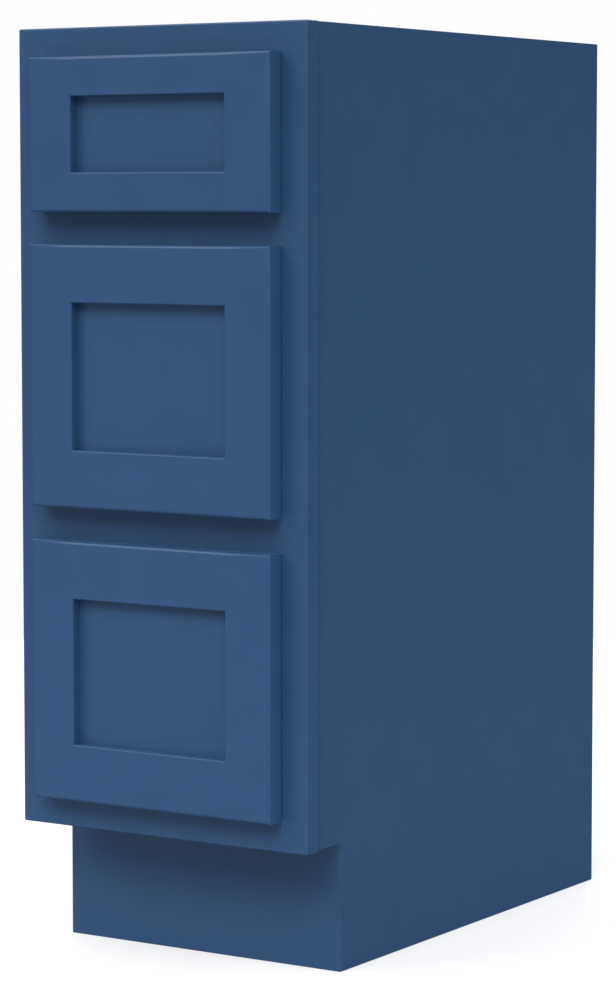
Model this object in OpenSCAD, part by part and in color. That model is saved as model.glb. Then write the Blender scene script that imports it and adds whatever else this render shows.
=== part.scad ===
// Three-drawer bathroom vanity base cabinet with a face frame and recessed-panel drawer fronts.
// Millimetres. +Z up, drawers open towards -Y, origin at the bottom centre of the closed cabinet.
// Every module below is written with y = 0 on the front of the face frame; place() moves it home.

/* [Cabinet] */
// Width across the face frame
cab_w = 304.8; // [290:0.1:460]
// Height from the floor to the top edge
cab_h = 825.5; // [800:0.5:880]
// Depth from the front of the face frame to the wall
cab_d = 533.4; // [525:0.1:610]
// Thickness of the side panels
side_t = 12.7; // [12:0.1:16]
// How far the face frame stands past each side panel
side_reveal = 6.35; // [3:0.05:8]

/* [Toe kick] */
// Height of the toe kick
toe_h = 114.3; // [90:0.1:120]
// Distance from the face frame back to the toe kick
toe_setback = 63.5; // [50:0.5:80]
// Thickness of the finished toe kick skin
toe_skin_t = 6.35; // [5:0.05:10]

/* [Face frame] */
// Width of the face frame stiles and rails
frame_w = 38.1; // [36:0.1:42]
// Thickness of the face frame
frame_t = 19.05; // [18:0.05:20]

/* [Drawer fronts] */
// Height of the top drawer front
top_front_h = 135.5; // [130:0.5:150]
// How far a front laps the frame at each side
front_overlay = 12.7; // [12:0.1:16]
// Thickness of a drawer front
front_t = 19.05; // [18:0.05:20]
// Width of the drawer front stiles
front_stile_w = 46; // [40:0.5:50]
// Width of the rails of the two deep drawer fronts
deep_rail_w = 51; // [40:0.5:56]
// Width of the rails of the top drawer front
top_rail_w = 34.5; // [30:0.5:38]
// Depth of the recessed panel below the front
recess = 9.5; // [6:0.1:10]
// Radius round the front edge of a drawer front
front_round = 3; // [1:0.1:4]

/* [Drawer boxes] */
// Height of the top drawer box
top_box_h = 92; // [80:0.5:95]
// Height of the two deep drawer boxes
deep_box_h = 190; // [150:0.5:192]
// Thickness of the drawer box sides, front and back
box_t = 12.7; // [11:0.1:13]

/* [Slides] */
// Length of the slide members, which is also their travel
slide_len = 450; // [400:1:460]

/* [Hidden] */
DRAWERS = ["top", "middle", "bottom"];
LEVELS = [0:2];
SIDES = [-1, 1];
CARCASS_NODES = [
  "left_side_panel", "right_side_panel", "bottom_panel", "back_panel",
  "top_hanging_rail", "bottom_hanging_rail", "toe_kick_board", "toe_kick_skin",
  "face_left_stile", "face_right_stile", "face_top_rail", "face_upper_mid_rail",
  "face_lower_mid_rail", "face_bottom_rail", "corner_braces", "slide_cleats",
  "cabinet_slide_members", "carcass_screws"
];
DRAWER_NODES = [
  "front_left_stile", "front_right_stile", "front_top_rail", "front_bottom_rail", "front_panel",
  "box_left_side", "box_right_side", "box_front", "box_back", "box_bottom",
  "slide_drawer_members", "slide_middle_members", "front_bumpers", "drawer_screws"
];

paint = [0.22, 0.34, 0.51];
maple = [0.86, 0.74, 0.55];
birch = [0.89, 0.79, 0.62];
zinc = [0.76, 0.77, 0.78];
nylon = [0.93, 0.92, 0.88];
round_fn = 48;
cut = 1; // how far a cutter runs past the face that it cuts

// Places across the cabinet
side_in = cab_w / 2 - side_reveal - side_t;
side_out = cab_w / 2 - side_reveal;
open_x = cab_w / 2 - frame_w;
dado = 6.35;

// Places from front to back
front_gap = 1;
front_y = -front_gap - front_t;
place_y = (front_gap + front_t - cab_d) / 2;
panel_t = 6.35;
hang_t = 12.7;
back_y = cab_d - hang_t - panel_t;
toe_board_t = 12.7;

// Heights of the bottom panel, hanging rails and face frame rails
floor_top = toe_h + frame_w;
floor_t = 12.7;
hang_h = 76.2;
top_reveal = 26.2;
front_gaps = [28.3, 29.8];
bottom_reveal = 27.2;
deep_front_h = (cab_h - toe_h - top_reveal - front_gaps[0] - front_gaps[1] - bottom_reveal
  - top_front_h) / 2;
front_h = [top_front_h, deep_front_h, deep_front_h];
front_top = [
  cab_h - top_reveal,
  cab_h - top_reveal - front_h[0] - front_gaps[0],
  cab_h - top_reveal - front_h[0] - front_gaps[0] - front_h[1] - front_gaps[1]
];
mid_rail_z = [for (i = [0, 1]) front_top[i + 1] + front_gaps[i] / 2 - frame_w / 2];
rail_z = [cab_h - frame_w, mid_rail_z[0], mid_rail_z[1], toe_h];

// Face frame tenons
tenon_len = 12.7;
tenon_t = 6.35;
tenon_shoulder = 6.35;

// Drawer fronts
front_w = 2 * (open_x + front_overlay);
front_rail_w = [top_rail_w, deep_rail_w, deep_rail_w];
groove = 9.5;
groove_y = front_y + recess;
panel_slack = 0.4;
bumper_t = 0.95;
bumper_r = 4;
bumper_inset = 6.5;

// Slides: three nested channels in a 12.7 mm gap
slide_gap = 12.7;
slide_y = 3;
slide_half_h = 22.5;
outer_t = 1.2;
middle_t = 1;
outer_depth = 10.8;
middle_x = 9.1;
middle_depth = 7.6;
middle_half_h = 17.9;
inner_half_h = 13.7;
inner_depth = 8;
lip = 1.6;
channel_round = 2.5;
cleat_h = 50.8;
slide_screw_y = [for (share = [0.1, 0.5, 0.9]) share * slide_len];

// Drawer boxes
box_x = open_x - slide_gap;
box_under = 12.7;
slide_up_most = 76.2;
box_h = [top_box_h, deep_box_h, deep_box_h];
box_z = [for (d = LEVELS) rail_z[d + 1] + frame_w + box_under];
box_floor_up = 12.7;
box_past_slide = 3.2;
tail_pitch = 30;
tail_slope = 1 / 7;
tail_share = 0.62;
slide_z = [for (d = LEVELS) box_z[d] + min(box_h[d] / 2, slide_up_most)];

// Screws
shank_r = 2;
pilot_r = 2.05;
clear_r = 2.4;
head_r = 3.9;
slide_head_h = 0.9;
pan_head_h = 2;
point_len = 3;
point_r = 0.4;
cross_w = 1;
cross_reach = 0.6 * head_r;
cross_depth = 0.65;
pilot_spare = 0.5; // how far a pilot hole runs past its screw
brace_screw_len = 13;
slide_screw_len = 10.5;
front_screw_len = 25;
front_screw_x = box_x - box_t - head_r - 0.5;
front_screw_up = 31;
front_screw_down = [15, 45, 45];

// Corner braces
brace_leg = 63.5;
brace_h = 25.4;
brace_wall = 3;
brace_hole_in = 22;
brace_boss_r = 8;
brace_boss_h = 12;
brace_hole_r = 2.5;
brace_nose = 6;
brace_screw_in = 48;
brace_screw_down = 14;

// Moves a piece from face frame coordinates to the cabinet's own origin
module place() {
  translate([0, place_y, 0]) children();
}

// A block between the low and high ends of three ranges
module block(x, y, z) {
  translate([x[0], y[0], z[0]]) cube([x[1] - x[0], y[1] - y[0], z[1] - z[0]]);
}

// Turns a piece drawn for the right side (1) into the one for the left side (-1)
module on_side(s) {
  mirror([s < 0 ? 1 : 0, 0, 0]) children();
}

// Points +Z along +X, +Y or -Y
module along_x() {
  rotate([0, 90, 0]) children();
}
module along_back() {
  rotate([-90, 0, 0]) children();
}
module along_front() {
  rotate([90, 0, 0]) children();
}

// A screw whose head sits on z = 0 and whose shank runs up +Z
module screw(len, head_h) {
  difference() {
    union() {
      cylinder(h = len - point_len, r = shank_r, $fn = round_fn);
      translate([0, 0, len - point_len])
        cylinder(h = point_len, r1 = shank_r, r2 = point_r, $fn = round_fn);
      translate([0, 0, -head_h]) cylinder(h = head_h, r = head_r, $fn = round_fn);
    }
    for (a = [0, 90]) {
      rotate(a) block([-cross_reach, cross_reach], [-cross_w / 2, cross_w / 2],
        [-head_h - cut, cross_depth * head_h - head_h]);
    }
  }
}

// The hole that a screw of this length bites into
module pilot(len) {
  cylinder(h = len + pilot_spare, r = pilot_r, $fn = round_fn);
}

// The hole that a slide screw's shank passes in a slide member
module slide_clear_hole() {
  translate([0, 0, -cut]) cylinder(h = outer_t + 2 * cut, r = clear_r, $fn = round_fn);
}

// ---- Carcass ----

module bottom_panel_body() {
  block([-side_in - dado, side_in + dado], [frame_t, back_y], [floor_top - floor_t, floor_top]);
}

module back_panel_body() {
  block([-side_in - dado, side_in + dado], [back_y, back_y + panel_t], [toe_h, cab_h]);
}

module side_panel(s) {
  color(paint) difference() {
    on_side(s) difference() {
      block([side_in, side_out], [frame_t, cab_d], [0, cab_h]);
      block([side_in - cut, side_out + cut], [frame_t - cut, toe_setback + toe_skin_t],
        [-cut, toe_h]);
    }
    bottom_panel_body();
    back_panel_body();
    brace_screw_places() pilot(brace_screw_len);
  }
}

module bottom_panel() {
  color(maple) bottom_panel_body();
}

module back_panel() {
  color(maple) difference() {
    back_panel_body();
    brace_screw_places() pilot(brace_screw_len);
  }
}

module hanging_rail(z) {
  color(maple) difference() {
    block([-side_in, side_in], [cab_d - hang_t, cab_d], [z, z + hang_h]);
    brace_screw_places() pilot(brace_screw_len);
  }
}

module toe_kick_board() {
  y = toe_setback + toe_skin_t;
  color(maple) block([-side_in, side_in], [y, y + toe_board_t], [0, floor_top - floor_t]);
}

module toe_kick_skin() {
  color(paint) block([-side_out, side_out], [toe_setback, toe_setback + toe_skin_t], [0, toe_h]);
}

// Packers that bring the slides level with the frame opening, from the face frame to the back panel
module slide_cleats() {
  color(maple) for (d = LEVELS, s = SIDES) {
    difference() {
      on_side(s) block([open_x, side_in], [frame_t, back_y],
        [slide_z[d] - cleat_h / 2, slide_z[d] + cleat_h / 2]);
      cabinet_screw_places(d, s) pilot(slide_screw_len);
    }
  }
}

// ---- Corner braces ----

// Repeats its children in the four top corners, drawn in the front right one
module in_corners() {
  mid = (frame_t + back_y) / 2;
  for (s = SIDES, e = [0, 1]) {
    on_side(s) translate([0, mid, 0]) mirror([0, e, 0]) translate([0, -mid, 0]) children();
  }
}

module corner_brace() {
  x = side_in;
  y = frame_t;
  difference() {
    union() {
      translate([x, y, cab_h - brace_wall]) linear_extrude(brace_wall)
        polygon([[0, 0], [-brace_leg, 0], [-brace_leg, brace_nose], [-brace_nose, brace_leg],
          [0, brace_leg]]);
      block([x - brace_wall, x], [y, y + brace_leg], [cab_h - brace_h, cab_h]);
      block([x - brace_leg, x], [y, y + brace_wall], [cab_h - brace_h, cab_h]);
      translate([x - brace_hole_in, y + brace_hole_in, cab_h - brace_boss_h])
        cylinder(h = brace_boss_h, r = brace_boss_r, $fn = round_fn);
    }
    translate([x - brace_hole_in, y + brace_hole_in, cab_h - brace_boss_h - cut])
      cylinder(h = brace_boss_h + 2 * cut, r = brace_hole_r, $fn = round_fn);
  }
}

// One screw through each leg of each brace
module brace_screw_places() {
  in_corners() {
    translate([side_in - brace_wall, frame_t + brace_screw_in, cab_h - brace_screw_down])
      along_x() children();
    translate([side_in - brace_screw_in, frame_t + brace_wall, cab_h - brace_screw_down])
      along_front() children();
  }
}

module corner_braces() {
  color(nylon) difference() {
    in_corners() corner_brace();
    brace_screw_places() cylinder(h = brace_wall + cut, r = clear_r, $fn = round_fn);
  }
}

// ---- Face frame ----

module rail_tenons(k) {
  block([-open_x - tenon_len, open_x + tenon_len],
    [(frame_t - tenon_t) / 2, (frame_t + tenon_t) / 2],
    [rail_z[k] + tenon_shoulder, rail_z[k] + frame_w - tenon_shoulder]);
}

module face_stile(s) {
  color(paint) difference() {
    on_side(s) block([open_x, cab_w / 2], [0, frame_t], [toe_h, cab_h]);
    for (k = [0:3]) rail_tenons(k);
  }
}

module face_rail(k) {
  color(paint) difference() {
    union() {
      block([-open_x, open_x], [0, frame_t], [rail_z[k], rail_z[k] + frame_w]);
      rail_tenons(k);
    }
    if (k == 0) brace_screw_places() pilot(brace_screw_len);
  }
}

// ---- Drawer fronts ----

function front_bottom(d) = front_top[d] - front_h[d];

// A w by t rectangle that hangs below y = 0, with its two lower corners rounded
module eased_rect(w, t, r) {
  translate([-w / 2, r - t]) square([w, t - r]);
  translate([r - w / 2, -t]) square([w - 2 * r, r]);
  for (s = SIDES) translate([s * (w / 2 - r), r - t]) circle(r, $fn = round_fn);
}

// The whole front as one slab, rounded along its four front edges
module front_slab(d) {
  intersection() {
    translate([0, -front_gap, front_bottom(d)]) linear_extrude(front_h[d])
      eased_rect(front_w, front_t, front_round);
    translate([-front_w / 2, -front_gap, front_bottom(d) + front_h[d] / 2]) rotate([90, 0, 90])
      linear_extrude(front_w) rotate(-90) eased_rect(front_h[d], front_t, front_round);
  }
}

module front_stile(d, s) {
  x = front_w / 2 - front_stile_w;
  z = front_bottom(d);
  color(paint) difference() {
    intersection() {
      front_slab(d);
      on_side(s) block([x, front_w / 2], [front_y, -front_gap], [z, z + front_h[d]]);
    }
    on_side(s) block([x - cut, x + groove], [groove_y, groove_y + panel_t],
      [z - cut, z + front_h[d] + cut]);
    front_screw_places(d) pilot(front_screw_len);
  }
}

// up = 1 for the top rail and -1 for the bottom rail
module front_rail(d, up) {
  x = front_w / 2 - front_stile_w;
  mid = front_bottom(d) + front_h[d] / 2;
  color(paint) translate([0, 0, mid]) mirror([0, 0, up < 0 ? 1 : 0]) {
    top = front_h[d] / 2;
    low = top - front_rail_w[d];
    difference() {
      intersection() {
        translate([0, 0, -mid]) front_slab(d);
        block([-x, x], [front_y, -front_gap], [low, top]);
      }
      block([-x - cut, x + cut], [groove_y, groove_y + panel_t], [low - cut, low + groove]);
    }
    for (s = SIDES) {
      on_side(s) block([x, x + groove], [groove_y, groove_y + panel_t], [low + groove, top]);
    }
  }
}

module front_panel(d) {
  x = front_w / 2 - front_stile_w + groove - panel_slack;
  z = front_rail_w[d] - groove + panel_slack;
  color(paint) difference() {
    block([-x, x], [groove_y, groove_y + panel_t], [front_bottom(d) + z, front_top[d] - z]);
    front_screw_places(d) pilot(front_screw_len);
  }
}

module front_bumpers(d) {
  x = front_w / 2 - bumper_inset;
  color(nylon) for (s = SIDES, z = [front_bottom(d) + bumper_inset, front_top[d] - bumper_inset]) {
    translate([s * x, -front_gap, z]) along_back() cylinder(h = bumper_t, r = bumper_r, $fn = round_fn);
  }
}

// ---- Drawer boxes ----

box_front_y = -front_gap;
box_back_y = slide_y + slide_len + box_past_slide;

function tail_count(d) = round(box_h[d] / tail_pitch);

// The dovetails at one end of the right side: e = 0 at the front, 1 at the back
module box_tails(d, e) {
  pitch = box_h[d] / tail_count(d);
  end_w = pitch * tail_share;
  base_w = end_w - 2 * box_t * tail_slope;
  end_y = e == 0 ? box_front_y : box_back_y;
  base_y = e == 0 ? box_front_y + box_t : box_back_y - box_t;
  for (i = [0 : tail_count(d) - 1]) {
    translate([box_x - box_t, 0, box_z[d] + pitch * (i + 0.5)]) rotate([90, 0, 90])
      linear_extrude(box_t)
      polygon([[end_y, -end_w / 2], [end_y, end_w / 2], [base_y, base_w / 2], [base_y, -base_w / 2]]);
  }
}

module box_bottom_body(d) {
  x = box_x - box_t + dado;
  z = box_z[d] + box_floor_up;
  block([-x, x], [box_front_y + box_t - dado, box_back_y - box_t + dado], [z, z + panel_t]);
}

module box_side(d, s) {
  color(birch) difference() {
    on_side(s) union() {
      block([box_x - box_t, box_x], [box_front_y + box_t, box_back_y - box_t],
        [box_z[d], box_z[d] + box_h[d]]);
      box_tails(d, 0);
      box_tails(d, 1);
    }
    box_bottom_body(d);
    drawer_screw_places(d, s) pilot(slide_screw_len);
  }
}

// The front (e = 0) or back (e = 1) of a box, with sockets for the tails
module box_end(d, e) {
  y = e == 0 ? box_front_y : box_back_y - box_t;
  color(birch) difference() {
    block([-box_x, box_x], [y, y + box_t], [box_z[d], box_z[d] + box_h[d]]);
    for (s = SIDES) on_side(s) box_tails(d, e);
    box_bottom_body(d);
    if (e == 0) {
      front_screw_places(d) cylinder(h = front_screw_len, r = clear_r, $fn = round_fn);
    }
  }
}

module box_bottom(d) {
  color(birch) box_bottom_body(d);
}

// ---- Slides ----

// The cross-section of a channel: x = 0 on the back of its web, open towards -X, with turned-in lips
module channel_profile(half_h, depth, t) {
  r = channel_round;
  difference() {
    union() {
      translate([-depth, -half_h]) square([depth - r, 2 * half_h]);
      translate([-depth, r - half_h]) square([depth, 2 * (half_h - r)]);
      for (s = SIDES) translate([-r, s * (half_h - r)]) circle(r, $fn = round_fn);
    }
    translate([-depth + t, t - half_h]) square([depth - 2 * t, 2 * (half_h - t)]);
    translate([-depth - cut, t + lip - half_h]) square([depth, 2 * (half_h - t - lip)]);
  }
}

// A channel along the slide: x is where its web's back lies, open = -1 or 1 is the way that it opens
module channel(d, x, open, half_h, depth, t) {
  translate([x, slide_y, slide_z[d]]) mirror([open > 0 ? 1 : 0, 0, 0]) along_back()
    mirror([0, 1, 0]) linear_extrude(slide_len) channel_profile(half_h, depth, t);
}

module cabinet_slide_members() {
  color(zinc) for (d = LEVELS, s = SIDES) {
    difference() {
      on_side(s) channel(d, open_x, -1, slide_half_h, outer_depth, outer_t);
      cabinet_screw_places(d, s) slide_clear_hole();
    }
  }
}

module slide_middle_members(d) {
  color(zinc) for (s = SIDES) {
    on_side(s) channel(d, box_x + middle_x + middle_t, -1, middle_half_h, middle_depth, middle_t);
  }
}

module slide_drawer_members(d) {
  color(zinc) for (s = SIDES) {
    difference() {
      on_side(s) channel(d, box_x, 1, inner_half_h, inner_depth, outer_t);
      drawer_screw_places(d, s) slide_clear_hole();
    }
  }
}

// Screws that fix a cabinet member to its cleat, heads inside the channel
module cabinet_screw_places(d, s) {
  for (y = slide_screw_y) {
    on_side(s) translate([open_x - outer_t, slide_y + y, slide_z[d]]) along_x() children();
  }
}

// Screws that fix a drawer member to the box side, heads inside the channel
module drawer_screw_places(d, s) {
  for (y = slide_screw_y) {
    on_side(s) translate([box_x + outer_t, slide_y + y, slide_z[d]]) mirror([1, 0, 0]) along_x()
      children();
  }
}

// Screws that hold the front to the box, driven from inside the box
module front_screw_places(d) {
  for (s = SIDES, z = [front_screw_up, box_h[d] - front_screw_down[d]]) {
    translate([s * front_screw_x, box_front_y + box_t, box_z[d] + z]) along_front() children();
  }
}

module carcass_screws() {
  color(zinc) {
    brace_screw_places() screw(brace_screw_len, pan_head_h);
    for (d = LEVELS, s = SIDES) {
      cabinet_screw_places(d, s) screw(slide_screw_len, slide_head_h);
    }
  }
}

module drawer_screws(d) {
  color(zinc) {
    front_screw_places(d) screw(front_screw_len, pan_head_h);
    for (s = SIDES) drawer_screw_places(d, s) screw(slide_screw_len, slide_head_h);
  }
}

// ---- Nodes ----

place() {
  side_panel(-1);  // left_side_panel
  side_panel(1);  // right_side_panel
  bottom_panel();
  back_panel();
  hanging_rail(cab_h - hang_h);  // top_hanging_rail
  hanging_rail(toe_h);  // bottom_hanging_rail
  toe_kick_board();
  toe_kick_skin();
  face_stile(-1);  // face_left_stile
  face_stile(1);  // face_right_stile
  face_rail(0);  // face_top_rail
  face_rail(1);  // face_upper_mid_rail
  face_rail(2);  // face_lower_mid_rail
  face_rail(3);  // face_bottom_rail
  corner_braces();
  slide_cleats();
  cabinet_slide_members();
  carcass_screws();
  for (d = LEVELS) {
    name = DRAWERS[d];
    front_stile(d, -1);
    front_stile(d, 1);
    front_rail(d, 1);
    front_rail(d, -1);
    front_panel(d);
    box_side(d, -1);
    box_side(d, 1);
    box_end(d, 0);
    box_end(d, 1);
    box_bottom(d);
    slide_drawer_members(d);
    slide_middle_members(d);
    front_bumpers(d);
    drawer_screws(d);
  }
}
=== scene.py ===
import math

import bmesh
import bpy
from mathutils import Matrix, Vector


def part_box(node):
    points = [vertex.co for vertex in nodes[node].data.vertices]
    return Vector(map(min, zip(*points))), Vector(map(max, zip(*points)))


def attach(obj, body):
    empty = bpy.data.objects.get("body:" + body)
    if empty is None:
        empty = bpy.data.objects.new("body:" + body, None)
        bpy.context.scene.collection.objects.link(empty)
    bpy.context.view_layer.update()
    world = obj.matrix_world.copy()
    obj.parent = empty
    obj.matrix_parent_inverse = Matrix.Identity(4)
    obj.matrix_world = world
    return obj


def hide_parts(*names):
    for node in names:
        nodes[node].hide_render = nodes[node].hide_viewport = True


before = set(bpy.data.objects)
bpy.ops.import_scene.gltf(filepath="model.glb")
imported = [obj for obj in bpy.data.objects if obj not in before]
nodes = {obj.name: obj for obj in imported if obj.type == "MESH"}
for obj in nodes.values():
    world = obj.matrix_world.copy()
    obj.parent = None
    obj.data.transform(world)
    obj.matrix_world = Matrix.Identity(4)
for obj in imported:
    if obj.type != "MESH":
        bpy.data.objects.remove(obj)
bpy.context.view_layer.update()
scene = bpy.context.scene

MM = 0.001
DRAWERS = ("top", "middle", "bottom")
X = Vector((1, 0, 0))
SAME_POINT = 0.002 * MM      # corners nearer than this are one corner
ON_PLANE = 1e-7              # how near to a cutting plane a corner counts as on it


# ---------------------------------------------------------------- shader graphs

class Graph:
    """A material's node tree with short calls. An input may be a number, a colour or another socket."""

    def __init__(self, name):
        self.material = bpy.data.materials.new(name)
        self.material.use_nodes = True
        self.tree = self.material.node_tree
        self.shader = self.tree.nodes["Principled BSDF"]
        self.place = self.add("TexCoord").outputs["Object"]
        self.facing = self.add("TexCoord").outputs["Normal"]

    def add(self, kind, inputs=None, **settings):
        made = self.tree.nodes.new("ShaderNode" + kind)
        for key, value in settings.items():
            setattr(made, key, value)
        for key, value in (inputs or {}).items():
            self.put(made.inputs[key], value)
        return made

    def put(self, socket, value):
        if isinstance(value, bpy.types.NodeSocket):
            self.tree.links.new(value, socket)
        elif hasattr(value, "__len__") and len(value) == 3 and socket.type == "RGBA":
            socket.default_value = (*value, 1)
        else:
            socket.default_value = value

    def set(self, **values):
        for key, value in values.items():
            self.put(self.shader.inputs[key.replace("_", " ")], value)

    def math(self, operation, a, b=0.0, clamp=False):
        return self.add("Math", {0: a, 1: b}, operation=operation, use_clamp=clamp).outputs[0]

    def vector(self, operation, a, b):
        return self.add("VectorMath", {0: a, 1: b}, operation=operation).outputs[0]

    def split(self, vector):
        return self.add("SeparateXYZ", {0: vector}).outputs

    def noise(self, place, scale, detail=2.0, rough=0.5):
        made = self.add("TexNoise", {"Vector": place, "Scale": scale, "Detail": detail, "Roughness": rough})
        return made.outputs["Fac"]

    def ramp(self, value, low, high, out_low=0.0, out_high=1.0):
        inputs = {"Value": value, "From Min": low, "From Max": high, "To Min": out_low, "To Max": out_high}
        return self.add("MapRange", inputs, clamp=True).outputs[0]

    def mix(self, share, a, b, blend="MIX"):
        made = self.add("Mix", data_type="RGBA", blend_type=blend)
        self.put(made.inputs["Factor"], share)
        self.put(made.inputs[6], a)
        self.put(made.inputs[7], b)
        return made.outputs[2]

    def bump(self, height, depth, strength=1.0, under=None):
        inputs = {"Height": height, "Distance": depth, "Strength": strength}
        if under is not None:
            inputs["Normal"] = under
        return self.add("Bump", inputs).outputs[0]


# ---------------------------------------------------------------- materials

PAINT = (0.0294, 0.0812, 0.1962)
PAINT_DEEP = (0.0275, 0.0772, 0.1887)
PAINT_SPECULAR = 0.43
MAPLE = ((0.70, 0.53, 0.34), (0.54, 0.38, 0.215))
BIRCH = ((0.74, 0.58, 0.38), (0.58, 0.42, 0.245))
PLY_CORE = ((0.50, 0.34, 0.19), (0.33, 0.20, 0.10))
PLY_LAYER = 3.2 * MM
GRAIN_STRETCH = 0.06         # how much slower the figure changes along the grain
RINGS = 34                   # bands of figure per metre across the board
RING_WANDER = 5
NYLON = (0.62, 0.60, 0.54)
RUBBER = (0.62, 0.64, 0.65)
SLIDE_ZINC = (0.72, 0.74, 0.77)
SCREW_ZINC = (0.76, 0.75, 0.72)
BALL_STEEL = (0.74, 0.75, 0.76)
PEEL_DEPTH = 0.02 * MM       # how deep each surface's relief is
FIBRE_DEPTH = 0.05 * MM
ROLLING_DEPTH = 0.01 * MM
SPARK_DEPTH = 0.03 * MM


def paint_look(graph):
    """Colour, roughness and surface height of sprayed satin paint."""
    mottle = graph.noise(graph.place, 22, 3)
    tone = graph.mix(graph.ramp(mottle, 0.3, 0.7), PAINT_DEEP, PAINT)
    rough = graph.ramp(graph.noise(graph.place, 26, 4), 0.3, 0.7, 0.33, 0.39)
    peel = graph.noise(graph.place, 420, 2)
    return tone, rough, peel


def painted():
    graph = Graph("blue_paint")
    tone, rough, peel = paint_look(graph)
    graph.set(Base_Color=tone, Roughness=rough, Specular_IOR_Level=PAINT_SPECULAR)
    graph.set(Normal=graph.bump(peel, PEEL_DEPTH))
    return graph.material


def wood_look(graph, grain, thick, seed, tones, ply):
    """Colour, roughness and surface height of a clear-coated board. grain and thick are axes, 0 to 2."""
    light, dark = tones
    along = [1.0, 1.0, 1.0]
    along[grain] = GRAIN_STRETCH
    moved = graph.vector("ADD", graph.place, (seed * 0.37, seed * 0.61, seed * 0.23))
    drawn = graph.vector("MULTIPLY", moved, along)
    warp = graph.noise(drawn, 14, 3)
    third = 3 - grain - thick
    across = graph.math("MULTIPLY", graph.split(drawn)[third], RINGS)
    rings = graph.math("ADD", across, graph.math("MULTIPLY", warp, RING_WANDER))
    figure = graph.ramp(graph.math("PINGPONG", rings, 0.5), 0.0, 0.5)
    fibre = graph.noise(drawn, 900, 4, 0.65)
    cloud = graph.noise(drawn, 30, 3)
    shade = graph.math("MULTIPLY", figure, 0.4)
    shade = graph.math("ADD", shade, graph.ramp(fibre, 0.35, 0.65, 0.0, 0.4))
    shade = graph.math("ADD", shade, graph.ramp(cloud, 0.3, 0.7, 0.0, 0.3), clamp=True)
    tone = graph.mix(shade, light, dark)
    facing = graph.split(graph.facing)
    if ply:
        on_edge = graph.ramp(graph.math("ABSOLUTE", facing[thick]), 0.75, 0.65)
        deep = graph.math("MULTIPLY", graph.split(moved)[thick], 1 / PLY_LAYER)
        wobble = graph.math("MULTIPLY", graph.noise(graph.place, 90, 2), 0.35)
        layer = graph.math("PINGPONG", graph.math("ADD", deep, wobble), 0.5)
        speck = graph.ramp(graph.noise(graph.place, 1400, 3), 0.3, 0.7, -0.25, 0.25)
        layer = graph.math("ADD", graph.ramp(layer, 0.2, 0.3), speck, clamp=True)
        edge_tone = graph.mix(layer, *PLY_CORE)
    else:
        on_edge = graph.ramp(graph.math("ABSOLUTE", facing[grain]), 0.65, 0.75)
        pores = graph.ramp(graph.noise(graph.place, 1600, 2), 0.35, 0.65)
        edge_tone = graph.mix(pores, [c * 0.86 for c in dark], [c * 0.58 for c in dark])
    tone = graph.mix(on_edge, tone, edge_tone)
    rough = graph.ramp(fibre, 0.3, 0.7, 0.34, 0.46)
    rough = graph.math("ADD", rough, graph.math("MULTIPLY", on_edge, 0.25))
    return tone, rough, fibre


def wooden(name, grain, thick, seed, tones, ply=False):
    graph = Graph(name)
    tone, rough, height = wood_look(graph, grain, thick, seed, tones, ply)
    graph.set(Base_Color=tone, Roughness=rough, Normal=graph.bump(height, FIBRE_DEPTH))
    return graph.material


def painted_ply(name, paint_from):
    """A plywood side, painted on its outer face: paint_from is the distance from the middle plane."""
    graph = Graph(name)
    paint_tone, paint_rough, peel = paint_look(graph)
    wood_tone, wood_rough, fibre = wood_look(graph, grain=2, thick=0, seed=5, tones=MAPLE, ply=True)
    out = graph.math("ABSOLUTE", graph.split(graph.place)[0])
    is_paint = graph.math("GREATER_THAN", out, paint_from)
    rough = graph.add("Mix", {"Factor": is_paint, 2: wood_rough, 3: paint_rough}).outputs[0]
    height = graph.add("Mix", {"Factor": is_paint, 2: fibre, 3: peel}).outputs[0]
    graph.set(Base_Color=graph.mix(is_paint, wood_tone, paint_tone), Roughness=rough)
    graph.set(Specular_IOR_Level=PAINT_SPECULAR, Normal=graph.bump(height, PEEL_DEPTH))
    return graph.material


def zinc_plated(name, tint, rough):
    """Bright zinc on rolled steel, with faint rolling lines along the slide."""
    graph = Graph(name)
    lines = graph.vector("MULTIPLY", graph.place, (1, 0.03, 1))
    streak = graph.noise(lines, 1200, 3)
    bloom = graph.noise(graph.place, 60, 4)
    tone = graph.mix(graph.ramp(bloom, 0.35, 0.65), tint, [c * 0.86 for c in tint])
    level = graph.ramp(streak, 0.3, 0.7, rough - 0.07, rough + 0.08)
    graph.set(Base_Color=tone, Metallic=0.75, Roughness=level, Normal=graph.bump(streak, ROLLING_DEPTH))
    return graph.material


def moulded(name, colour, rough):
    """Moulded plastic with a spark-eroded grain."""
    graph = Graph(name)
    grain = graph.noise(graph.place, 1500, 2)
    haze = graph.noise(graph.place, 30, 3)
    tone = graph.mix(graph.ramp(haze, 0.3, 0.7), colour, [c * 0.93 for c in colour])
    level = graph.ramp(grain, 0.3, 0.7, rough - 0.05, rough + 0.05)
    graph.set(Base_Color=tone, Roughness=level, Normal=graph.bump(grain, SPARK_DEPTH))
    return graph.material


FLOOR_RADIUS = 2.0
RIM_START = 0.6 * FLOOR_RADIUS
RIM_END = 0.97 * FLOOR_RADIUS
RIM_GLOW = 0.25
CAMERA_GLOW = 0.34           # lifts the lit floor to the background's white, for the camera only
FLOOR_TONES = ((0.72, 0.72, 0.72), (0.70, 0.70, 0.703))


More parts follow.
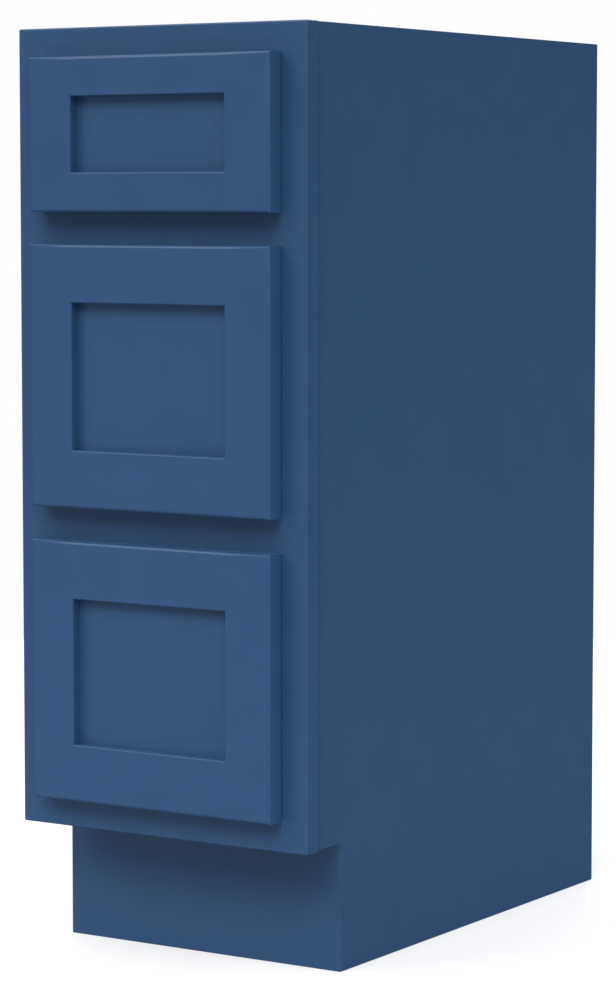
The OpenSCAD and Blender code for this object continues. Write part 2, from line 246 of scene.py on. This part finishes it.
def floor_look():
    """A pale studio floor that grows lighter towards its rim, and is clear when looked at from below."""
    graph = Graph("pale_floor")
    haze = graph.noise(graph.place, 1.3, 3)
    graph.set(Base_Color=graph.mix(haze, *FLOOR_TONES))
    graph.set(Roughness=graph.ramp(haze, 0.3, 0.7, 0.6, 0.75), Specular_IOR_Level=0.2)
    reach = graph.add("VectorMath", {0: graph.place}, operation="LENGTH").outputs["Value"]
    rim = graph.ramp(reach, RIM_START, RIM_END, 0.0, RIM_GLOW)
    seen = graph.math("MULTIPLY", graph.add("LightPath").outputs["Is Camera Ray"], CAMERA_GLOW)
    graph.set(Emission_Strength=graph.math("ADD", rim, seen))
    graph.set(Emission_Color=(1, 1, 1))
    below = graph.add("NewGeometry").outputs["Backfacing"]
    clear = graph.add("BsdfTransparent").outputs[0]
    either = graph.add("MixShader", {0: below, 1: graph.shader.outputs[0], 2: clear}).outputs[0]
    graph.put(graph.tree.nodes["Material Output"].inputs["Surface"], either)
    return graph.material


# ---------------------------------------------------------------- meshes

SHARP_TURN = math.radians(40)        # an edge that turns more than this is shaded as an edge
FLAT_TURN = math.radians(1)          # faces that turn less than this are merged
ARRIS_TURN = math.radians(50)        # a CAD node's edge that turns more than this is eased
LATTICE_TURN = 0.5                   # the same for a lattice, in radians


def finish_mesh(name, bm, material, body, stands_for):
    """Turns a bmesh in the row frame into a piece that rides on a body."""
    bmesh.ops.recalc_face_normals(bm, faces=bm.faces)
    mesh = bpy.data.meshes.new(name)
    bm.to_mesh(mesh)
    bm.free()
    mesh.shade_smooth()
    mesh.set_sharp_from_angle(angle=SHARP_TURN)
    piece = bpy.data.objects.new(name, mesh)
    scene.collection.objects.link(piece)
    mesh.materials.append(material)
    even = piece.modifiers.new("even_normals", "WEIGHTED_NORMAL")
    even.keep_sharp = True
    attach(piece, body)
    if stands_for:
        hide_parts(*stands_for)
    return piece


def part_of(whole, planes, keep):
    """The part of a closed bmesh whose face centres pass keep, cut at (point, normal) planes and closed."""
    kept = whole.copy()
    for point, normal in planes:
        everything = kept.verts[:] + kept.edges[:] + kept.faces[:]
        bmesh.ops.bisect_plane(kept, geom=everything, dist=ON_PLANE, plane_co=point, plane_no=normal)
    gone = [face for face in kept.faces if not keep(face.calc_center_median())]
    bmesh.ops.delete(kept, geom=gone, context="FACES")
    rim = [edge for edge in kept.edges if edge.is_boundary]
    bmesh.ops.holes_fill(kept, edges=rim, sides=0)
    return kept


def arc(centre, radius, start, stop, steps=5):
    """Points along a circle from start to stop, in degrees."""
    for i in range(steps + 1):
        a = math.radians(start + (stop - start) * i / steps)
        yield centre[0] + radius * math.cos(a), centre[1] + radius * math.sin(a)


def ring(outer, inner, profile):
    """A rectangular ring round Y. Each profile point is (edge, inset, y): edge is outer or inner,
    and inset is how far the point lies from that edge into the wood."""
    bm = bmesh.new()
    loops = []
    for edge, inset, y in profile:
        x0, z0, x1, z1 = outer if edge == "outer" else inner
        into = inset if edge == "outer" else -inset
        left, right, low, high = x0 + into, x1 - into, z0 + into, z1 - into
        corners = ((left, low), (right, low), (right, high), (left, high))
        loops.append([bm.verts.new((x, y, z)) for x, z in corners])
    for a, b in zip(loops, loops[1:] + loops[:1]):
        for i in range(4):
            j = (i + 1) % 4
            bm.faces.new((a[i], a[j], b[j], b[i]))
    bmesh.ops.recalc_face_normals(bm, faces=bm.faces)
    return bm


def plate(xs, zs, y0, y1, is_open, arris):
    """A flat lattice from y0 to y1 with eased arrises, without the cells (i, k) that is_open names."""
    bm = bmesh.new()
    sides = []
    for y in (y0, y1):
        sides.append([[bm.verts.new((x, y, z)) for z in zs] for x in xs])
    cells = [(i, k) for i in range(len(xs) - 1) for k in range(len(zs) - 1) if not is_open(i, k)]
    for i, k in cells:
        for at in sides:
            bm.faces.new((at[i][k], at[i + 1][k], at[i + 1][k + 1], at[i][k + 1]))
        steps = (((i - 1, k), (i, k), (i, k + 1)), ((i + 1, k), (i + 1, k), (i + 1, k + 1)),
                 ((i, k - 1), (i, k), (i + 1, k)), ((i, k + 1), (i, k + 1), (i + 1, k + 1)))
        for beside, a, b in steps:
            if beside not in cells:
                front, back = sides
                bm.faces.new((front[a[0]][a[1]], front[b[0]][b[1]], back[b[0]][b[1]], back[a[0]][a[1]]))
    loose = [v for v in bm.verts if not v.link_faces]
    bmesh.ops.delete(bm, geom=loose, context="VERTS")
    bmesh.ops.recalc_face_normals(bm, faces=bm.faces)
    sharp = [e for e in bm.edges if e.is_convex and e.calc_face_angle(0) > LATTICE_TURN]
    bmesh.ops.bevel(bm, geom=sharp, offset=arris, segments=3, profile=0.5, affect="EDGES")
    return bm


def lathe(bm, profile, place, segments=32):
    """Adds a solid of revolution round +Z to bm, moved by place. The profile runs from axis to axis."""
    rings = []
    for radius, height in profile:
        if radius == 0:
            rings.append([bm.verts.new(place @ Vector((0, 0, height)))] * segments)
            continue
        turned = (2 * math.pi * i / segments for i in range(segments))
        rings.append([bm.verts.new(place @ Vector((radius * math.cos(a), radius * math.sin(a), height)))
                      for a in turned])
    for low, high in zip(rings, rings[1:]):
        for i in range(segments):
            j = (i + 1) % segments
            corners = dict.fromkeys((low[i], low[j], high[j], high[i]))
            if len(corners) > 2:
                bm.faces.new(corners)


def prism(bm, outline, place, depth, end_scale=1.0):
    """Adds a closed prism to bm: an outline in X and Y that runs down to -depth, moved by place."""
    top = [bm.verts.new(place @ Vector((x, y, 0))) for x, y in outline]
    foot = [bm.verts.new(place @ Vector((x * end_scale, y * end_scale, -depth))) for x, y in outline]
    bm.faces.new(top)
    bm.faces.new(foot[::-1])
    for i, a in enumerate(top):
        j = (i + 1) % len(top)
        bm.faces.new((top[j], a, foot[i], foot[j]))


def carve(bm, cutter):
    """Takes the closed solids in cutter out of bm."""
    carvings = []
    for part in (bm, cutter):
        bmesh.ops.recalc_face_normals(part, faces=part.faces)
        mesh = bpy.data.meshes.new("carving")
        part.to_mesh(mesh)
        part.free()
        carving = bpy.data.objects.new("carving", mesh)
        scene.collection.objects.link(carving)
        carvings.append(carving)
    body, tool = carvings
    boolean = body.modifiers.new("carve", "BOOLEAN")
    boolean.solver = "EXACT"
    boolean.operation = "DIFFERENCE"
    boolean.object = tool
    result = bmesh.new()
    result.from_mesh(body.evaluated_get(bpy.context.evaluated_depsgraph_get()).data)
    bmesh.ops.remove_doubles(result, verts=result.verts, dist=SAME_POINT)
    bmesh.ops.dissolve_degenerate(result, edges=result.edges, dist=SAME_POINT)
    for carving in carvings:
        mesh = carving.data
        bpy.data.objects.remove(carving)
        bpy.data.meshes.remove(mesh)
    return result


def solids(node):
    """The corner points of each separate solid in a CAD node, in a fixed order."""
    bm = bmesh.new()
    bm.from_mesh(nodes[node].data)
    bmesh.ops.remove_doubles(bm, verts=bm.verts, dist=SAME_POINT)
    found = []
    waiting = set(bm.verts)
    while waiting:
        todo = [waiting.pop()]
        points = []
        while todo:
            vert = todo.pop()
            points.append(vert.co.copy())
            beside = {edge.other_vert(vert) for edge in vert.link_edges} & waiting
            waiting -= beside
            todo.extend(beside)
        found.append(sorted(points, key=tuple))
    bm.free()
    return sorted(found, key=lambda points: tuple(points[0]))


def ends(points):
    """The lowest and highest corners of some points."""
    return (Vector(min(p[i] for p in points) for i in range(3)),
            Vector(max(p[i] for p in points) for i in range(3)))


def carried(node, material, arris=0.0):
    """A CAD node that stays, with its own material and, if arris is given, eased edges."""
    piece = nodes[node]
    piece.data.materials.clear()
    piece.data.materials.append(material)
    weld = piece.modifiers.new("weld", "WELD")
    weld.merge_threshold = SAME_POINT
    if arris:
        merge = piece.modifiers.new("merge_flats", "DECIMATE")
        merge.decimate_type = "DISSOLVE"
        merge.angle_limit = FLAT_TURN
        ease = piece.modifiers.new("eased_arris", "BEVEL")
        ease.width = arris
        ease.segments = 2
        ease.limit_method = "ANGLE"
        ease.angle_limit = ARRIS_TURN
        ease.loop_slide = False
        ease.harden_normals = True
    even = piece.modifiers.new("even_normals", "WEIGHTED_NORMAL")
    even.keep_sharp = True
    return piece


# ---------------------------------------------------------------- camera

CAMERA_PLACE = (1.6604, -2.6020, 0.6756)
CAMERA_DIP = 0.0822          # radians below level
CAMERA_TURN = 0.5695         # radians from the front towards +X
CAMERA_LENS = 119.95
CAMERA_SHIFT = (-0.0056, -0.0249)


def add_camera():
    """A long lens low at the front right, level with the upper drawers."""
    data = bpy.data.cameras.new("camera")
    data.sensor_width = 36
    data.lens = CAMERA_LENS
    data.shift_x, data.shift_y = CAMERA_SHIFT
    camera = bpy.data.objects.new("camera", data)
    camera.location = CAMERA_PLACE
    camera.rotation_euler = (math.pi / 2 - CAMERA_DIP, 0, CAMERA_TURN)
    scene.collection.objects.link(camera)
    scene.camera = camera


# ---------------------------------------------------------------- painted pieces

JOINT_SLACK = 0.01 * MM      # how near to a joint a face's centre counts as on it
FRAME_ARRIS = 1.6 * MM
FRONT_ROUND = 3.0 * MM       # a drawer front's outer arris
FRONT_ARRIS = 1.1 * MM       # the arris of its recess
BACK_ARRIS = 0.6 * MM
GROOVE = 9.5 * MM            # depth of the groove that holds the panel


def build_face_frame(paint):
    """Two stiles and four rails, cut from one lattice so that the paint runs over their joints."""
    left_low, left_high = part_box("face_left_stile")
    half = -left_low.x
    inside = -left_high.x
    rails = ("face_bottom_rail", "face_lower_mid_rail", "face_upper_mid_rail", "face_top_rail")
    zs = [z for rail in rails for z in (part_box(rail)[0].z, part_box(rail)[1].z)]
    whole = plate([-half, -inside, inside, half], zs, left_low.y, left_high.y,
                  lambda i, k: i == 1 and k % 2 == 1, FRAME_ARRIS)
    joints = [(X * -inside, X), (X * inside, X)]
    near = inside - JOINT_SLACK
    finish_mesh("face_left_stile_painted", part_of(whole, joints, lambda c: c.x < -near),
                paint, "carcass", ["face_left_stile"])
    finish_mesh("face_right_stile_painted", part_of(whole, joints, lambda c: c.x > near),
                paint, "carcass", ["face_right_stile"])
    for i, rail in enumerate(rails):
        low, high = zs[2 * i] - JOINT_SLACK, zs[2 * i + 1] + JOINT_SLACK
        piece = part_of(whole, joints, lambda c: abs(c.x) < near and low < c.z < high)
        finish_mesh(rail + "_painted", piece, paint, "carcass", [rail])
    whole.free()


def front_profile(front, back, panel_front, panel_back):
    """The section of a drawer front's frame, from the back's outer arris round to its inner one."""
    r, a, b = FRONT_ROUND, FRONT_ARRIS, BACK_ARRIS
    points = [("outer", u, y) for u, y in arc((b, back - b), b, 90, 180)]
    points += [("outer", u, y) for u, y in arc((r, front + r), r, 180, 270, 8)]
    points += [("inner", u, y) for u, y in arc((a, front + a), a, 270, 180)]
    points += [("inner", 0, panel_front), ("inner", GROOVE, panel_front)]
    points += [("inner", GROOVE, panel_back), ("inner", 0, panel_back)]
    points += [("inner", u, y) for u, y in arc((b, back - b), b, 180, 90)]
    return points


def build_front(drawer, paint):
    """A drawer front's two stiles and two rails, cut from one ring, round the CAD panel."""
    body = drawer + "_drawer"
    parts = ("left_stile", "right_stile", "top_rail", "bottom_rail")
    names = {part: f"{drawer}_front_{part}" for part in parts}
    low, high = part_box(names["left_stile"])
    panel_low, panel_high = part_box(drawer + "_front_panel")
    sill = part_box(names["bottom_rail"])[1].z
    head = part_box(names["top_rail"])[0].z
    whole = ring((low.x, low.z, -low.x, high.z), (high.x, sill, -high.x, head),
                 front_profile(low.y, high.y, panel_low.y, panel_high.y))
    joints = [(X * high.x, X), (X * -high.x, X)]
    near, middle = -high.x - JOINT_SLACK, (sill + head) / 2
    keeps = {
        "left_stile": lambda c: c.x < -near,
        "right_stile": lambda c: c.x > near,
        "top_rail": lambda c: abs(c.x) < near and c.z > middle,
        "bottom_rail": lambda c: abs(c.x) < near and c.z < middle,
    }
    for part, keep in keeps.items():
        finish_mesh(names[part] + "_painted", part_of(whole, joints, keep), paint, body,
                    [names[part]])
    whole.free()
    carried(drawer + "_front_panel", paint)


# ---------------------------------------------------------------- carcass and boxes

PAINT_REACH = 0.9 * MM       # how far the paint runs in from a side panel's outer face, over its arrises
BOARD_ARRIS = 0.3 * MM
BRACE_ARRIS = 0.4 * MM
BOX_SEED = 10                # the first drawer board's seed; the carcass boards come before it


def finish_carcass(paint):
    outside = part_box("right_side_panel")[1].x
    for side in ("left_side_panel", "right_side_panel"):
        carried(side, painted_ply(side + "_look", outside - PAINT_REACH), BOARD_ARRIS)
    carried("toe_kick_skin", paint, BOARD_ARRIS)
    boards = (("bottom_panel", 1, 2), ("back_panel", 2, 1), ("top_hanging_rail", 0, 1),
              ("bottom_hanging_rail", 0, 1), ("toe_kick_board", 0, 1), ("slide_cleats", 1, 0))
    for seed, (board, grain, thick) in enumerate(boards):
        carried(board, wooden(board + "_look", grain, thick, seed + 1, MAPLE, True), BOARD_ARRIS)
    carried("corner_braces", moulded("brace_nylon", NYLON, 0.45), BRACE_ARRIS)


def finish_boxes():
    boards = (("box_left_side", 1, 0), ("box_right_side", 1, 0), ("box_front", 0, 1), ("box_back", 0, 1))
    for row, drawer in enumerate(DRAWERS):
        first = BOX_SEED + row * (len(boards) + 1)
        for i, (board, grain, thick) in enumerate(boards):
            name = f"{drawer}_{board}"
            carried(name, wooden(name + "_look", grain, thick, first + i, BIRCH), BOARD_ARRIS)
        name = f"{drawer}_box_bottom"
        carried(name, wooden(name + "_look", 1, 2, first + len(boards), BIRCH, True))


# ---------------------------------------------------------------- screws, bumpers and slides

def screw_measures(points):
    """Where a CAD screw stands: its place matrix, with +Z down the shank from the head, and its sizes."""
    low, high = ends(points)
    axis = max(range(3), key=lambda i: high[i] - low[i])
    middle = (low + high) / 2

    def off_axis(point):
        away = point - middle
        away[axis] = 0
        return away.length

    head_r = max(off_axis(p) for p in points)
    head = [p[axis] for p in points if off_axis(p) > 0.95 * head_r]
    forward = 1 if head[0] < middle[axis] else -1
    foot = max(head) if forward > 0 else min(head)
    start = middle.copy()
    start[axis] = foot
    down = Vector((0, 0, 0))
    down[axis] = forward
    turn = down.to_track_quat("Z", "Y").to_matrix().to_4x4()
    length = high[axis] - foot if forward > 0 else foot - low[axis]
    return Matrix.Translation(start) @ turn, length, head_r, max(head) - min(head)


SHANK_R = 2.0 * MM
POINT_LENGTH = 3.0 * MM
TIP_R = 0.4 * MM
TIP_LENGTH = 0.2 * MM
HEAD_EDGE = 0.45 * MM        # height of a pan head's upright rim
HEAD_EASE = 0.2 * MM
CROSS_HALF_WIDTH = 0.55 * MM
CROSS_REACH = 0.55           # of the head's radius
CROSS_DEPTH = 0.7            # of the head's height
CROSS_TAPER = 0.6
CUT_OVER = 0.5 * MM          # how far a cutter stands out of what it cuts


def quarter_round(radius, height, start=0.0):
    """Points of a dome's section, from its rim at start nearly up to its top at height."""
    for degrees in range(0, 90, 15):
        a = math.radians(degrees)
        yield radius * math.cos(a), start + (height - start) * math.sin(a)


def add_screw(bm, cutter, points):
    """A pan-head screw with a cross recess. The recess goes into cutter."""
    place, length, head_r, head_h = screw_measures(points)
    edge = min(HEAD_EDGE, head_h / 3)
    profile = [(0, length), (TIP_R, length - TIP_LENGTH), (SHANK_R, length - POINT_LENGTH), (SHANK_R, 0)]
    profile += [(head_r - HEAD_EASE, 0), (head_r, -HEAD_EASE), *quarter_round(head_r, -head_h, -edge)]
    lathe(bm, profile + [(0, -head_h)], place)
    reach = CROSS_REACH * head_r
    w = CROSS_HALF_WIDTH
    cross = ((reach, -w), (reach, w), (w, w), (w, reach), (-w, reach), (-w, w),
             (-reach, w), (-reach, -w), (-w, -w), (-w, -reach), (w, -reach), (w, -w))
    turned = place @ Matrix.Translation((0, 0, -head_h - CUT_OVER)) @ Matrix.Rotation(math.pi, 4, "X")
    prism(cutter, cross, turned, CUT_OVER + CROSS_DEPTH * head_h, CROSS_TAPER)


def build_screws(node, body, material):
    bm, cutter = bmesh.new(), bmesh.new()
    for points in solids(node):
        add_screw(bm, cutter, points)
    finish_mesh(node + "_turned", carve(bm, cutter), material, body, [node])


BUMPER_RIM = 0.25            # the share of a bumper's thickness that its rim stands upright


def build_bumpers(node, body, material):
    """Clear self-adhesive domes, stuck behind the corners of a drawer front."""
    bm = bmesh.new()
    for points in solids(node):
        low, high = ends(points)
        radius, thick = (high.x - low.x) / 2, high.y - low.y
        place = Matrix.Translation(((low.x + high.x) / 2, low.y, (low.z + high.z) / 2))
        turned = place @ Matrix.Rotation(-math.pi / 2, 4, "X")
        dome = quarter_round(radius, thick, BUMPER_RIM * thick)
        lathe(bm, [(0, 0), (radius, 0), *dome, (0, thick)], turned)
    finish_mesh(node + "_domed", bm, material, body, [node])


SLIDE_THICK = 1.2 * MM       # sheet of the cabinet and drawer members
MIDDLE_THICK = 1.0 * MM
SLIDE_BEND = 1.6 * MM
LIP_BEND = 0.9 * MM
LIP = 1.6 * MM
RACE_SWELL = 0.35 * MM
SLOT_R = 2.3 * MM
SLOT_HALF = 4.5 * MM
ROUND_HALF = 0.1 * MM        # a screw's hole is a slot that is hardly longer than it is wide
FLAT_SLOTS = (0.035, 0.3, 0.7, 0.965)       # places along the slide, as shares of its length
UPRIGHT_SLOTS = (0.2, 0.4, 0.6, 0.8)
PUNCH_DEPTH = 4 * MM
TURN_TO_X = Matrix(((0, 0, 1, 0), (1, 0, 0, 0), (0, 1, 0, 0), (0, 0, 0, 1)))


def channel_line(half, depth, thick, lip):
    """The middle line of a rolled channel in X and Z: web at x = 0, open towards +X, races swelling out."""
    upper = [(depth - thick, half - thick - lip)]
    top = half - thick / 2 - RACE_SWELL
    upper += list(arc((depth - thick - LIP_BEND, top - LIP_BEND), LIP_BEND, 0, 90))
    span = depth - thick - LIP_BEND - SLIDE_BEND
    for share in (0.75, 0.5, 0.25):
        swell = RACE_SWELL * math.sin(math.pi * share)
        upper.append((SLIDE_BEND + span * share, top + swell))
    upper += list(arc((SLIDE_BEND, top - SLIDE_BEND), SLIDE_BEND, 90, 180))
    return upper + [(x, -z) for x, z in reversed(upper)]


def sheet_section(line, thick):
    """The closed outline of a sheet of this thickness along a middle line."""
    left, right = [], []
    for i, point in enumerate(line):
        before, after = line[max(i - 1, 0)], line[min(i + 1, len(line) - 1)]
        way = (Vector(after) - Vector(before)).normalized()
        across = Vector((-way.y, way.x)) * thick / 2
        left.append(Vector(point) + across)
        right.append(Vector(point) - across)
    return left + right[::-1]


def add_rolled(bm, line, thick, middle, opens, centre_z, y_range):
    """Adds a closed sheet of this thickness to bm, along a middle line in X and Z, over a range of Y."""
    section = sheet_section(line, thick)
    loops = []
    for y in y_range:
        loops.append([bm.verts.new((middle + opens * p.x, y, centre_z + p.y)) for p in section])
    count = len(section)
    for i in range(count):
        j = (i + 1) % count
        bm.faces.new((loops[0][i], loops[0][j], loops[1][j], loops[1][i]))
    for loop in loops:
        for i in range(count // 2 - 1):
            bm.faces.new((loop[i], loop[i + 1], loop[count - 2 - i], loop[count - 1 - i]))


def add_channel(bm, web_x, opens, centre_z, y_range, half, depth, thick, lip, leg=0.0):
    """Adds one rolled channel to bm. opens is the way along X that it opens, 1 or -1. With a leg it is
    two angles instead, whose webs end that far in from the channel's top and foot."""
    line = channel_line(half, depth, thick, lip)
    lines = [line]
    if leg:
        upper = line[:len(line) // 2] + [(0, half - leg)]
        lines = [upper, [(x, -z) for x, z in upper]]
    for line in lines:
        add_rolled(bm, line, thick, web_x + opens * thick / 2, opens, centre_z, y_range)


def slot_outline(half_length, upright, segments=8):
    """A slot along X, or along Y if upright, with round ends."""
    outline = []
    for end in (0, 1):
        for i in range(segments + 1):
            a = math.pi * (i / segments + end) - math.pi / 2
            shift = half_length if end == 0 else -half_length
            outline.append((shift + SLOT_R * math.cos(a), SLOT_R * math.sin(a)))
    return [(-y, x) for x, y in outline] if upright else outline


def punch(cutter, x, y, z, half_length, upright):
    """A slot through a slide's web, drawn in Y and Z."""
    place = Matrix.Translation((x + PUNCH_DEPTH / 2, y, z)) @ TURN_TO_X
    prism(cutter, slot_outline(half_length, upright), place, PUNCH_DEPTH)


def build_slides(node, body, material, thick, opens_in, screws):
    """Rolled channels with punched webs in place of a node's plain ones. screws holds the screws' places."""
    bm, cutter = bmesh.new(), bmesh.new()
    for points in solids(node):
        low, high = ends(points)
        side = 1 if low.x > 0 else -1
        opens = -side if opens_in else side
        web_x = low.x if opens > 0 else high.x
        centre_z = (low.z + high.z) / 2
        length = high.y - low.y
        half = (high.z - low.z) / 2
        add_channel(bm, web_x, opens, centre_z, (low.y, high.y), half, high.x - low.x, thick, LIP)
        for screw in screws:
            if abs(screw.z - centre_z) < half and screw.x * side > 0:
                punch(cutter, web_x, screw.y, screw.z, ROUND_HALF, False)
        for share in FLAT_SLOTS + UPRIGHT_SLOTS:
            upright = share in UPRIGHT_SLOTS
            punch(cutter, web_x, low.y + share * length, centre_z, SLOT_HALF, upright)
    finish_mesh(node + "_rolled", carve(bm, cutter), material, body, [node])


BALL_R = 1.5 * MM
BALL_PITCH = 7.5 * MM
CAGE_THICK = 0.5 * MM
CAGE_LENGTH = 150 * MM
CAGE_LIP = 0.2 * MM
CAGE_INSET = 12 * MM         # from a middle member's end to a cage

# A cage against a middle member: how far its web stands out behind the member's, how much further it
# reaches up and down, how deep it is, how far in from its web the balls run, and its webs' legs: the
# outer cage is two angles, which pass over and under the screw heads
OUTER_CAGE = (0.95 * MM, 1.95 * MM, 7.7 * MM, 3.7 * MM, 8 * MM)
INNER_CAGE = (-1.3 * MM, -2.35 * MM, 4.8 * MM, 3.2 * MM, 0.0)


def build_ball_cages(drawer, cage, steel):
    """Ball rows and cages outside and inside a drawer's middle members, within all three members in any
    pose: the outer ones are at the rear and the inner ones at the front."""
    body = drawer + "_slide_middles"
    strips, balls = bmesh.new(), bmesh.new()
    for points in solids(drawer + "_slide_middle_members"):
        low, high = ends(points)
        side = 1 if low.x > 0 else -1
        centre_z = (low.z + high.z) / 2
        back = high.x if side > 0 else low.x
        half = (high.z - low.z) / 2
        rear, front = high.y - CAGE_INSET - CAGE_LENGTH, low.y + CAGE_INSET
        for measures, start in ((OUTER_CAGE, rear), (INNER_CAGE, front)):
            stand_out, further, depth, ball_in, leg = measures
            web_x, reach = back + side * stand_out, half + further
            add_channel(strips, web_x, -side, centre_z, (start, start + CAGE_LENGTH), reach, depth,
                        CAGE_THICK, CAGE_LIP, leg)
            for up in (-1, 1):
                ball_z = centre_z + up * (reach - CAGE_THICK / 2)
                for i in range(int(CAGE_LENGTH / BALL_PITCH)):
                    at = Vector((web_x - side * ball_in, start + (i + 0.5) * BALL_PITCH, ball_z))
                    bmesh.ops.create_icosphere(balls, subdivisions=2, radius=BALL_R,
                                               matrix=Matrix.Translation(at))
    finish_mesh(drawer + "_ball_cages", strips, cage, body, None)
    finish_mesh(drawer + "_slide_balls", balls, steel, body, None)


def build_hardware():
    slide = zinc_plated("slide_zinc", SLIDE_ZINC, 0.38)
    screw = zinc_plated("screw_zinc", SCREW_ZINC, 0.3)
    ball = zinc_plated("ball_steel", BALL_STEEL, 0.2)
    bumper = moulded("bumper_rubber", RUBBER, 0.35)
    fixed = [screw_measures(points)[0].translation for points in solids("carcass_screws")]
    build_slides("cabinet_slide_members", "carcass", slide, SLIDE_THICK, True, fixed)
    build_screws("carcass_screws", "carcass", screw)
    for drawer in DRAWERS:
        body = drawer + "_drawer"
        moving = [screw_measures(points)[0].translation for points in solids(drawer + "_drawer_screws")]
        middles = drawer + "_slide_middles"
        build_slides(drawer + "_slide_middle_members", middles, slide, MIDDLE_THICK, True, [])
        build_slides(drawer + "_slide_drawer_members", body, slide, SLIDE_THICK, False, moving)
        build_ball_cages(drawer, slide, ball)
        build_screws(drawer + "_drawer_screws", body, screw)
        build_bumpers(drawer + "_front_bumpers", body, bumper)


# ---------------------------------------------------------------- stage and light

FLOOR_DROP = 0.2 * MM


def add_stage():
    bm = bmesh.new()
    bmesh.ops.create_circle(bm, cap_ends=True, segments=96, radius=FLOOR_RADIUS)
    mesh = bpy.data.meshes.new("floor")
    bm.to_mesh(mesh)
    bm.free()
    mesh.materials.append(floor_look())
    floor = bpy.data.objects.new("floor", mesh)
    floor.location.z = -FLOOR_DROP
    floor.visible_glossy = False
    scene.collection.objects.link(floor)


# Each soft light: azimuth from the front towards +X, elevation and spread in degrees, and strength
LIGHTS = {
    "key": (-42, 40, 34, 0.905),
    "front": (18, 45, 34, 1.394),
    "right": (82, 34, 50, 0.811),
    "edge": (60, 5, 24, 0.114),
    "left_low": (-45, 8, 40, 0.114),
    "back": (-155, 35, 60, 0.676),
}
AMBIENT_LOW = 0.068
AMBIENT_HIGH = 0.749
HORIZON = 0.2                # upward share of the direction where the even light starts to grow
CEILING = 0.75


def add_lights():
    for name, (azimuth, elevation, spread, strength) in LIGHTS.items():
        data = bpy.data.lights.new(name, "SUN")
        data.energy = strength
        data.angle = math.radians(spread)
        light = bpy.data.objects.new(name, data)
        light.rotation_euler = (math.radians(90 - elevation), 0, math.radians(azimuth))
        scene.collection.objects.link(light)


def add_world():
    """White behind the object, and on it an even light that grows from the horizon to the ceiling."""
    world = bpy.data.worlds.new("studio")
    world.use_nodes = True
    tree = world.node_tree

    def blend(value, low, high, out_low, out_high=1.0):
        node = tree.nodes.new("ShaderNodeMapRange")
        for socket, given in zip(node.inputs, (value, low, high, out_low, out_high)):
            if isinstance(given, bpy.types.NodeSocket):
                tree.links.new(given, socket)
            else:
                socket.default_value = given
        return node.outputs[0]

    way = tree.nodes.new("ShaderNodeTexCoord").outputs["Generated"]
    height = tree.nodes.new("ShaderNodeSeparateXYZ")
    tree.links.new(way, height.inputs[0])
    light = blend(height.outputs["Z"], HORIZON, CEILING, AMBIENT_LOW, AMBIENT_HIGH)
    seen = tree.nodes.new("ShaderNodeLightPath").outputs["Is Camera Ray"]
    backdrop = tree.nodes["Background"]
    backdrop.inputs["Color"].default_value = (1, 1, 1, 1)
    tree.links.new(blend(seen, 0, 1, light), backdrop.inputs["Strength"])
    scene.world = world
    scene.view_settings.view_transform = "Standard"


add_camera()
paint = painted()
build_face_frame(paint)
for drawer in DRAWERS:
    build_front(drawer, paint)
finish_carcass(paint)
finish_boxes()
build_hardware()
add_stage()
add_lights()
add_world()
